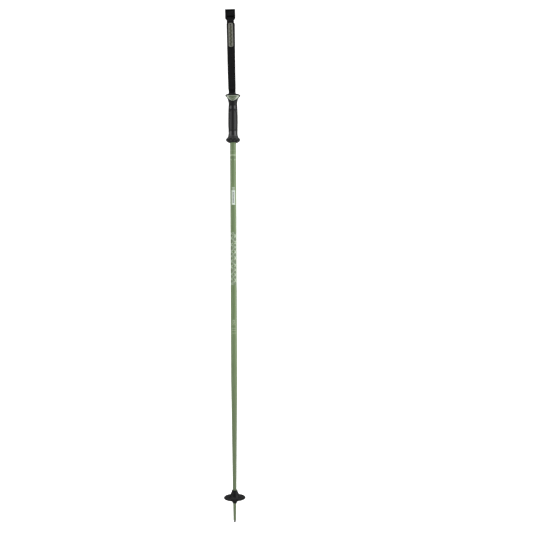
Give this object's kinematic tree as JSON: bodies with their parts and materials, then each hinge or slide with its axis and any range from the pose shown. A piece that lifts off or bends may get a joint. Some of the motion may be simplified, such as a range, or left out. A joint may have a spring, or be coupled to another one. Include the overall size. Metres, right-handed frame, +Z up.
{
  "type": "ski pole",
  "caption": "Alpine ski pole: tapered tube shaft, moulded grip with a webbing wrist loop and slide adjuster, snow basket and steel tip.",
  "frame": {"origin": "centre of the tip's flat end face", "axes": "+Z up the shaft towards the grip and the strap; X across the strap's width; -Y is the front, where the label is"},
  "size_m": [0.0632, 0.0632, 1.4922],
  "materials": {
    "shaft_paint": null,
    "steel": "satin",
    "basket_plastic": "satin black",
    "core_plastic": "matte",
    "grip_rubber": "satin black with textured panels",
    "cap_plastic": "semi-gloss black",
    "insert_paint": "semi-gloss olive green",
    "webbing": "woven black nylon",
    "pad_fabric": "black bound fabric",
    "thread": "dark thread",
    "buckle_plastic": "gloss black",
    "label_rubber": "matte olive and grey",
    "rivet_metal": "dark satin"
  },
  "bodies": {
    "pole": {"shaft": "shaft_paint", "tip_point": "steel", "grip_core": "core_plastic", "grip_sleeve": "grip_rubber", "grip_cap": "cap_plastic", "cap_insert_front": "insert_paint", "cap_insert_rear": "insert_paint", "cap_screw": "steel", "strap_pin": "steel", "strap_root": "webbing"},
    "strap": {"webbing_front": "webbing", "webbing_rear": "webbing", "wrist_pad": "pad_fabric", "root_bartack": "thread"},
    "adjuster": {"adjuster_frame": "buckle_plastic", "adjuster_fold": "webbing", "strap_tail": "webbing", "label_patch": "label_rubber", "label_rivet": "rivet_metal", "neck_bartack": "thread"},
    "basket": {"basket": "basket_plastic"}
  },
  "joints": [
    {"name": "strap_swing", "type": "hinge", "parent": "pole", "child": "strap", "pos_m": [-0.0021, 0, 1.249], "axis": [1, 0, 0], "range_deg": [-90, 90]},
    {"name": "adjuster_slide", "type": "slide", "parent": "strap", "child": "adjuster", "axis": [0.0201, 0, -0.9998], "range_m": [0, 0.045], "deforming": ["webbing_front", "webbing_rear", "wrist_pad"]},
    {"name": "basket_pull", "type": "slide", "parent": "pole", "child": "basket", "axis": [0, 0, -1], "range_m": [0, 0.1]}
  ]
}
